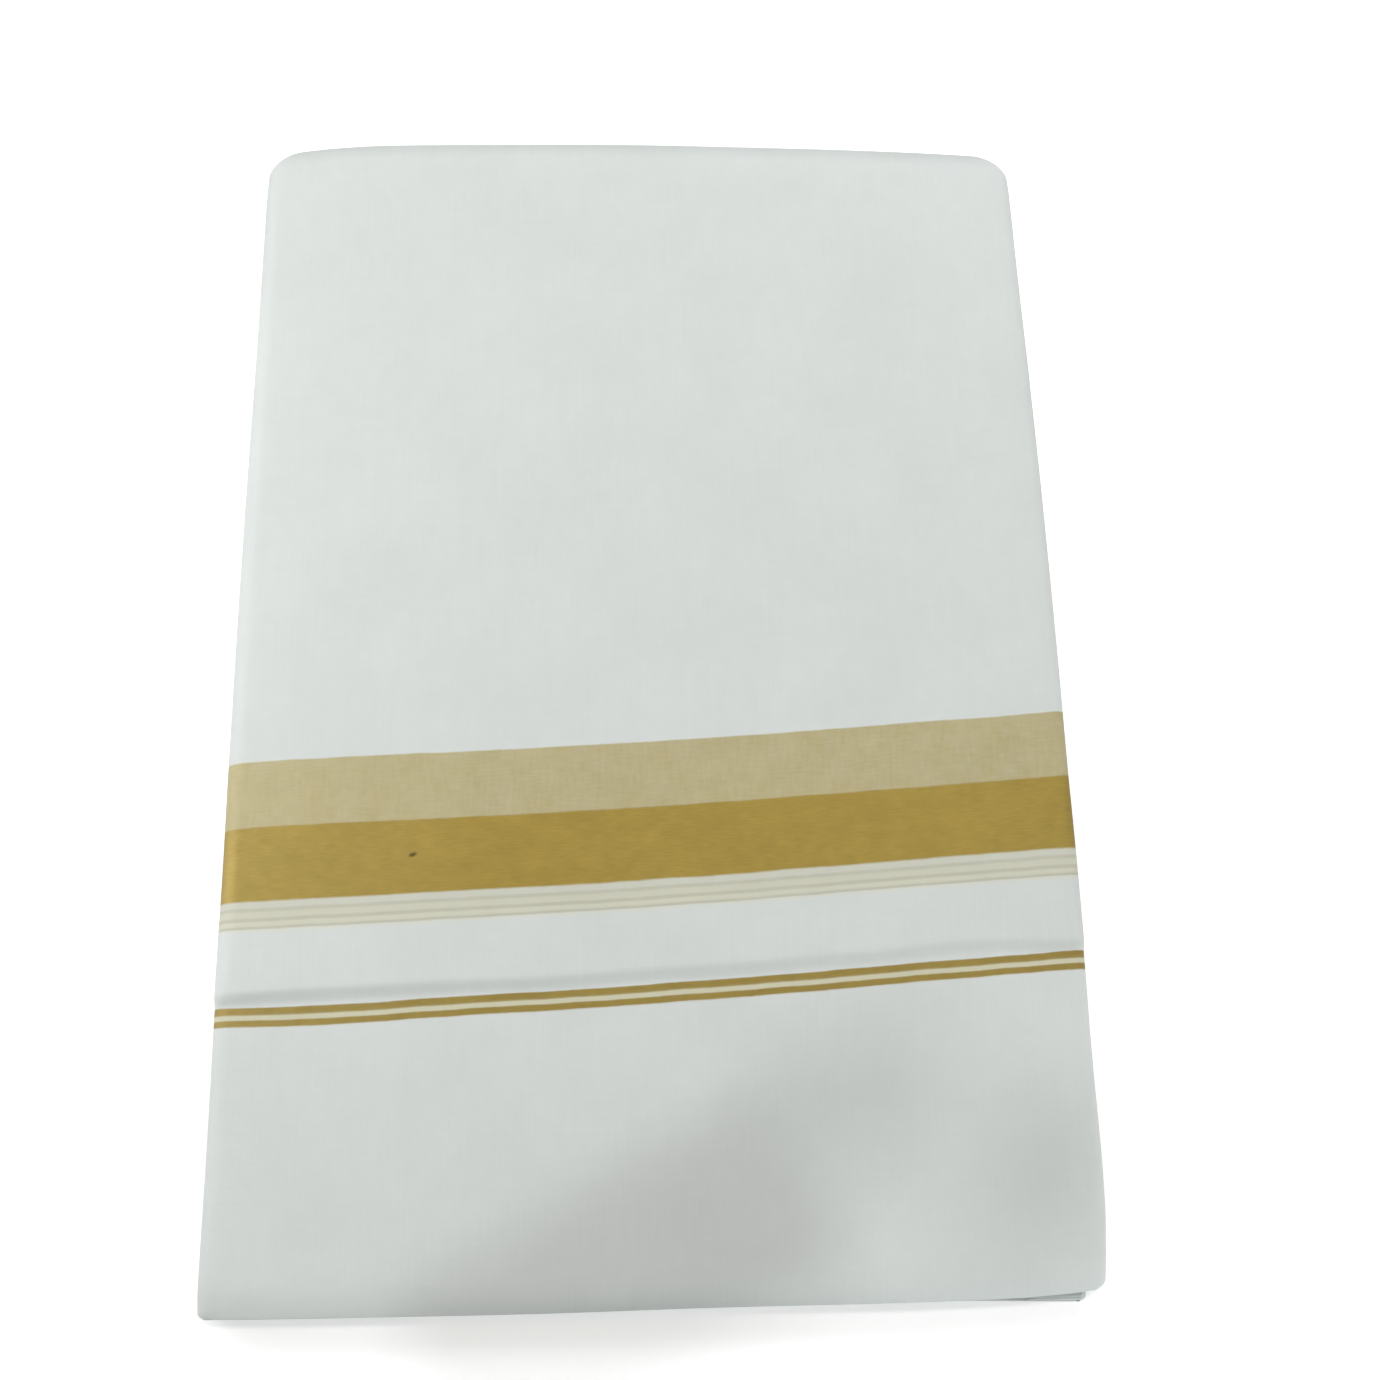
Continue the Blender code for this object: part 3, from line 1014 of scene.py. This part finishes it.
widths = ", ".join(f"{name} {from_v - to_v:.1f} mm" for name, from_v, to_v, *_ in STRIPES)
print(f"{len(stripe_edges())} edges: {widths}")

# %% [markdown]
# A thread is not a perfect line. It wanders by a few hundredths of a millimetre, and a whole group
# of threads drifts by more than that. So U and V are first shaken by a fine noise and a slow one,
# each with its scale and its reach. The weave itself is two sines: where their product is high a
# warp thread lies on top, and where it is low a weft thread does, and each of them is rounded by
# the sine that runs across it.

# %% Threads
THREAD = 0.00030
WANDERS = ((620.0, 0.00006), (95.0, 0.00020))
THREAD_RAD = math.pi / THREAD
CROSSING = 0.8


def thread_places(tree):
    uv = put(tree, "UVMap", uv_map="threads").outputs["UV"]
    moved = uv
    for scale, reach in WANDERS:
        centred = vectors(tree, "SUBTRACT", {0: noise(tree, uv, scale, 0.0, "Color"), 1: (0.5, 0.5, 0.5)})
        step = vectors(tree, "SCALE", {0: centred, "Scale": 2 * reach})
        moved = vectors(tree, "ADD", {0: moved, 1: step})
    parts = put(tree, "SeparateXYZ", {"Vector": moved})
    return uv, moved, parts.outputs["X"], parts.outputs["Y"]


def weave(tree, u, v):
    """The height of the threads from 0 to 1, and 0 to 1 for weft or warp on top."""
    across_u = reckon(tree, "SINE", times(tree, u, THREAD_RAD))
    across_v = reckon(tree, "SINE", times(tree, v, THREAD_RAD))
    product = times(tree, across_u, across_v)
    warp_up = reckon(tree, "MULTIPLY_ADD", product, CROSSING, 0.5, clamped=True)
    warp = times(tree, reckon(tree, "ABSOLUTE", across_v), warp_up)
    weft_up = reckon(tree, "SUBTRACT", 1.0, warp_up)
    weft = times(tree, reckon(tree, "ABSOLUTE", across_u), weft_up)
    return reckon(tree, "ADD", warp, weft), warp_up


def streaks(tree, moved, along_u, along_v):
    """Noise drawn out along the threads: the two numbers are its features per metre."""
    place = put(tree, "Mapping", {"Vector": moved, "Scale": (along_u, along_v, 1.0)}).outputs["Vector"]
    return noise(tree, place, 1.0, 1.0)


print(f"thread pitch {1000 * THREAD:.2f} mm, about {0.01 / THREAD:.0f} threads to the centimetre")

# %% [markdown]
# The gold threads are a thin metal-coloured film wound on cotton. They lie side by side in the
# gold band, and every other warp is gold in the half-gold one, so the gold is mixed in thread by
# thread and not as a flat tint: the share of gold decides how many of the warp threads that come
# up show it. Towards the left fold the gold is paler and shows a little less. A small dark knot in
# the gold band, where a thread was tied, is part of the cloth.

# %% How much gold shows at one place
DITHER = 0.4
DASHES = ((190.0, 1500.0), (800.0, 170.0), (110.0, 130.0))
# Towards the left fold the gold is paler and shows a little less.
PALER_FROM = -0.045
PALER_TO = -0.135
THINNER_LEFT = 0.07
PALER_LEFT = 0.12
KNOT_PLACE = (-0.0670, -0.0566, 0.0)
KNOT_SIZE = (0.0011, 0.00055, 1.0)
KNOT_TURN = math.radians(18)
KNOT_FROM = 1.5
KNOT_TO = 0.5


def border(tree, v):
    """The shares of gold and cream at V, and how light the cloth is there."""
    ramp = put(tree, "ValToRGB", {"Fac": ranged(tree, v, RAMP_FROM, RAMP_TO)})
    fill_ramp(ramp.color_ramp)
    parts = put(tree, "SeparateColor", {"Color": ramp.outputs["Color"]})
    return parts.outputs["Red"], parts.outputs["Green"], parts.outputs["Blue"]


def gold_share(tree, moved, share, warp_up):
    room = times(tree, share, reckon(tree, "SUBTRACT", 1.0, share))
    dashes = 0.0
    for row in DASHES:
        dashes = reckon(tree, "ADD", dashes, streaks(tree, moved, *row))
    threads = reckon(tree, "SUBTRACT", warp_up, (len(DASHES) + 1) / 2)
    pattern = reckon(tree, "ADD", threads, dashes)
    return reckon(tree, "MULTIPLY_ADD", times(tree, room, pattern), 2 * DITHER, share, clamped=True)


def knot_share(tree, moved):
    inputs = {"Vector": moved, "Location": KNOT_PLACE, "Rotation": (0.0, 0.0, KNOT_TURN), "Scale": KNOT_SIZE}
    turned = put(tree, "Mapping", inputs, vector_type="TEXTURE").outputs["Vector"]
    return ranged(tree, vectors(tree, "LENGTH", {0: turned}, "Value"), KNOT_FROM, KNOT_TO)


# The gold grows paler and thinner towards the left fold over this width.
print(f"gold worn over {1000 * (PALER_FROM - PALER_TO):.0f} mm, a knot {2000 * KNOT_SIZE[0]:.1f} mm long")

# %% [markdown]
# ## The finish
#
# Cotton is matt, with a soft sheen from its fibres. The gold film is smoother and a little
# metallic. Colour carries the rest: the spaces between the threads are painted darker as shade, the
# folds get painted shade, slubs make faint lines both ways, and the cloth is slightly uneven from
# one hand's breadth to the next. The same finish dresses both pieces, because they are one cloth.

# %% Colours and unevenness
COTTON = (0.731, 0.757, 0.735, 1.0)
CREAM = (0.655, 0.632, 0.450, 1.0)
GOLD = (0.392, 0.274, 0.055)
KNOT_COLOUR = (0.115, 0.085, 0.025, 1.0)
COTTON_ROUGH = 0.88
GOLD_ROUGH = 0.50
GOLD_METAL = 0.30
GLOSS = 0.25
SHEEN = 0.16
SHEEN_ROUGH = 0.45
# How much shade is painted into the spaces between the threads.
GAP_SHADE = 0.05
SLUBS = ((40.0, 1500.0, 0.016), (1500.0, 40.0, 0.018), (32.0, 30.0, 0.040), (190.0, 150.0, 0.020))
GOLD_FLECKS = ((260.0, 2200.0, 0.15), (170.0, 240.0, 0.10), (40.0, 60.0, 0.07))
BUMP_DEPTH = 0.00006
BUMP_STRENGTH = 0.55
PUCKER_SCALE = 170.0
PUCKER_DEPTH = 0.00012
PUCKER_STRENGTH = 0.30
# The colour sockets of a Mix node, by their number.
MIX_FIRST = 6
MIX_SECOND = 7
MIX_RESULT = 2


def uneven(tree, moved, tone, table):
    """Multiplies a tone by noise of mean 1, once for each row of features per metre and swing."""
    for along_u, along_v, swing in table:
        streak = streaks(tree, moved, along_u, along_v)
        tone = times(tree, tone, spread(tree, streak, 1 - swing, 1 + swing))
    return tone


def mix_colours(tree, share, first, second):
    inputs = {"Factor": share, MIX_FIRST: first, MIX_SECOND: second}
    return put(tree, "Mix", inputs, data_type="RGBA").outputs[MIX_RESULT]


def toned(tree, colour, tone):
    return vectors(tree, "SCALE", {"Scale": tone, 0: colour})


def bump(tree, height, strength, depth, **more):
    inputs = {"Height": height, "Strength": strength, "Distance": depth, **more}
    return put(tree, "Bump", inputs).outputs["Normal"]


def bare_finish(name):
    finish = bpy.data.materials.new(name)
    finish.use_nodes = True
    finish.node_tree.nodes.clear()
    return finish


def close_finish(tree, kind, inputs):
    shader = put(tree, kind, inputs)
    put(tree, "OutputMaterial", {"Surface": shader.outputs["BSDF"]})


print(f"{len(SLUBS)} kinds of slub in the cotton, {len(GOLD_FLECKS)} kinds of fleck in the gold")

# %% The finish of the cloth
def cotton_finish(name):
    finish = bare_finish(name)
    tree = finish.node_tree
    uv, moved, u, v = thread_places(tree)
    height, warp_up = weave(tree, u, v)
    gold_threads, cream, light = border(tree, v)
    paled = ranged(tree, u, PALER_FROM, PALER_TO)
    left_over = times(tree, gold_threads, spread(tree, paled, 1.0, 1 - THINNER_LEFT))
    share = gold_share(tree, moved, left_over, warp_up)
    # The spaces between the threads get painted shade, and the tops of the threads a slight painted
    # highlight.
    shade_and_lightness = times(tree, spread(tree, height, 1 - GAP_SHADE, 1 + GAP_SHADE / 2), light)
    # The folds' painted shade darkens the cloth's colour here.
    fold_shade = put(tree, "Attribute", attribute_name="fold_shade").outputs["Fac"]
    shade_and_lightness = times(tree, shade_and_lightness, reckon(tree, "SUBTRACT", 1.0, fold_shade))
    cotton = toned(tree, mix_colours(tree, cream, COTTON, CREAM), uneven(tree, moved, shade_and_lightness, SLUBS))
    pale = times(tree, shade_and_lightness, spread(tree, paled, 1.0, 1 + PALER_LEFT))
    gold = toned(tree, GOLD, uneven(tree, moved, pale, GOLD_FLECKS))
    cloth = mix_colours(tree, share, cotton, gold)
    colour = mix_colours(tree, knot_share(tree, moved), cloth, KNOT_COLOUR)
    pucker = noise(tree, uv, PUCKER_SCALE, 1.0)
    soft = bump(tree, pucker, PUCKER_STRENGTH, PUCKER_DEPTH)
    shader_inputs = {
        "Base Color": colour,
        "Roughness": spread(tree, share, COTTON_ROUGH, GOLD_ROUGH),
        "Metallic": times(tree, share, GOLD_METAL),
        "Normal": bump(tree, height, BUMP_STRENGTH, BUMP_DEPTH, Normal=soft),
        "Specular IOR Level": GLOSS,
        "Sheen Weight": SHEEN,
        "Sheen Roughness": SHEEN_ROUGH,
    }
    close_finish(tree, "BsdfPrincipled", shader_inputs)
    return finish


def dress(thing, finish):
    thing.data.materials.clear()
    thing.data.materials.append(finish)


cloth_finish = cotton_finish("cotton_with_gold_border")
dress(outer_cloth, cloth_finish)
dress(inner_folds, cloth_finish)
print(f"{len(cloth_finish.node_tree.nodes)} nodes in the cloth's finish")

# %% [markdown]
# ## The floor
#
# A pale floor that curves up on all sides has no horizon, so a low view stays plain too. It is a
# ring that is extruded outwards and upwards, then rounded, with a disc in its middle. A floor as
# white as this throws so much light back that the rims of the cloth would look brighter than its
# face. So the disc is left to the camera, and for the light a grey card lies in its place.

# %% Floor
FLOOR_RADIUS = 1.5
FLOOR_RISE = 1.6
FLOOR_ROUND = 0.7
FLOOR_SIDES = 96
FLOOR_COLOUR = (0.94, 0.94, 0.94, 1.0)
FLOOR_GLOW = 0.15
DISC_RADIUS = 0.45
# The disc glows most in its middle: painted light that whitens the packet's shadow on the floor.
DISC_GLOW = 0.42
DISC_GLOW_REACH = 0.28
CARD_COLOUR = (0.46, 0.46, 0.46, 1.0)
CARD_BELOW = 0.0002
PAPER_ROUGH = 0.9
ROUND_STEPS = 16


def add_circle(name, fill, height=0.0):
    bpy.ops.mesh.primitive_circle_add(
        vertices=FLOOR_SIDES, radius=DISC_RADIUS, fill_type=fill, location=(0.0, 0.0, height)
    )
    circle = bpy.context.active_object
    circle.name = name
    return circle


def make_floor():
    floor = add_circle("pale_floor", "NOTHING")
    outwards = FLOOR_RADIUS / DISC_RADIUS
    bpy.ops.object.mode_set(mode="EDIT")
    bpy.ops.mesh.select_mode(type="EDGE")
    bpy.ops.mesh.select_all(action="SELECT")
    bpy.ops.mesh.extrude_edges_move(TRANSFORM_OT_translate={"value": (0.0, 0.0, 0.0)})
    bpy.ops.transform.resize(value=(outwards, outwards, 1.0), center_override=(0.0, 0.0, 0.0))
    bpy.ops.mesh.extrude_edges_move(TRANSFORM_OT_translate={"value": (0.0, 0.0, FLOOR_RISE)})
    bpy.ops.mesh.select_all(action="SELECT")
    bpy.ops.mesh.normals_make_consistent(inside=True)
    bpy.ops.object.mode_set(mode="OBJECT")
    finish_with(floor, "BEVEL", width=FLOOR_ROUND, segments=ROUND_STEPS, limit_method="ANGLE")
    floor.data.shade_smooth()
    return floor


def paper_finish(name, colour, glow):
    finish = bare_finish(name)
    inputs = {"Base Color": colour, "Emission Color": colour, "Emission Strength": glow}
    close_finish(finish.node_tree, "BsdfPrincipled", {**inputs, "Roughness": PAPER_ROUGH})
    return finish


def fade_glow(finish):
    """Lets the glow fade from the disc's middle to its edge, where it meets that of the floor."""
    tree = finish.node_tree
    place = put(tree, "TexCoord").outputs["Object"]
    away = vectors(tree, "LENGTH", {0: place}, "Value")
    glows = {"To Min": DISC_GLOW, "To Max": FLOOR_GLOW}
    glow = ranged(tree, away, DISC_GLOW_REACH, DISC_RADIUS, **glows)
    feed(tree, tree.nodes["Principled BSDF"].inputs["Emission Strength"], glow)
    return finish


floor = make_floor()
disc = add_circle("pale_disc", "NGON")
card = add_circle("grey_card", "NGON", -CARD_BELOW)
dress(floor, paper_finish("pale_paper", FLOOR_COLOUR, FLOOR_GLOW))
dress(disc, fade_glow(paper_finish("pale_disc_paper", FLOOR_COLOUR, FLOOR_GLOW)))
dress(card, paper_finish("grey_paper", CARD_COLOUR, 0.0))
disc.visible_diffuse = disc.visible_glossy = disc.visible_shadow = False
card.visible_camera = False
print(f"floor: {triangles(floor)} triangles, with a disc and a grey card in its middle")

# %% [markdown]
# ## The light
#
# One lamp high above gives most of the light. Five soft, weaker ones lie lower: two beyond the far
# end, for the far half, two near the floor, for the folds at the sides, and a small bluish one
# almost on the floor, for the folded near end. Each is a square turned to the packet. The room
# itself is dim, so the light keeps its directions.

# %% Light
ROOM_COLOUR = (1.0, 1.0, 1.0, 1.0)
ROOM_STRENGTH = 0.08
# Each lamp: its place, size, watts and colour.
LAMPS = {
    "lamp_above": ((0.0, 0.30, 1.50), 0.20, 5.70, (1.0, 0.978, 0.922)),
    "lamp_far_right": ((0.50, 0.60, 0.60), 0.40, 2.95, (0.88, 0.94, 1.0)),
    "lamp_far_left": ((-0.50, 0.60, 0.60), 0.40, 0.45, (0.97, 0.99, 1.0)),
    "lamp_low_left": ((-0.45, 0.05, 0.16), 0.25, 0.84, (0.94, 0.97, 1.0)),
    "lamp_low_right": ((0.45, -0.42, 0.12), 0.20, 0.32, (1.0, 0.95, 0.85)),
    "lamp_near": ((0.16, -0.45, 0.035), 0.05, 0.21, (0.68, 0.86, 1.0)),
}
LAMP_AIM = Vector((0.0, 0.0, 0.0))


def light_the_room():
    world = bpy.data.worlds.new("dim_room")
    world.use_nodes = True
    background = world.node_tree.nodes["Background"]
    background.inputs["Color"].default_value = ROOM_COLOUR
    background.inputs["Strength"].default_value = ROOM_STRENGTH
    bpy.context.scene.world = world
    for name, (place, size, watts, colour) in LAMPS.items():
        data = bpy.data.lights.new(name, "AREA")
        data.shape = "SQUARE"
        data.size = size
        data.energy = watts
        data.color = colour
        lamp = add_thing(name, data)
        lamp.location = place
        lamp.rotation_euler = (LAMP_AIM - Vector(place)).to_track_quat("-Z", "Y").to_euler()


light_the_room()
bpy.context.scene.view_settings.view_transform = "Standard"
print(f"{len(LAMPS)} lamps in a dim room")

# %% [markdown]
# Something stands between the upper lamp and the near right corner, which lies in a soft, slightly
# olive shade. Three nets make it: small sheets above the cloth, out of sight of the camera, that
# let part of the light through.

# %% Nets
# Each net: its place, size, turn in degrees and what it lets through.
NETS = {
    "net_middle": ((-0.0067, -0.1331, 0.15), (0.1039, 0.0472), 29, (0.22, 0.17, 0.09, 1.0)),
    "net_upper": ((0.0503, -0.0759, 0.20), (0.0455, 0.0297), 20, (0.47, 0.46, 0.45, 1.0)),
    "net_right": ((0.0944, -0.0952, 0.20), (0.0227, 0.0393), -20, (0.43, 0.42, 0.41, 1.0)),
}


def hang_net(name, place, size, degrees, colour):
    turn = (0.0, 0.0, math.radians(degrees))
    bpy.ops.mesh.primitive_plane_add(size=1.0, location=place, rotation=turn)
    net = bpy.context.active_object
    net.name = name
    net.scale = (*size, 1.0)
    net.visible_camera = False
    finish = bare_finish(name)
    close_finish(finish.node_tree, "BsdfTransparent", {"Color": colour})
    dress(net, finish)
    return net


for name, row in NETS.items():
    hang_net(name, *row)
print(f"{len(NETS)} nets shade the near right corner")

# %% [markdown]
# ## What the pieces stand for
#
# Each cloth piece takes the place of its solids, which are hidden, and rides on the one body. The
# outer cloth is one thickness, and its width is measured flat along its path. The hidden strips are
# modelled as strips and not as every thickness in them.

def path_length(points):
    return sum((Vector(b) - Vector(a)).length for a, b in zip(points, points[1:]))


outer_width = path_length([station(1.0, 0.0) for station in stations])

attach(outer_cloth, "root")
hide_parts("front_stretch", "left_fold", "back_stretch")

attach(inner_folds, "root")
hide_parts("inner_folds")
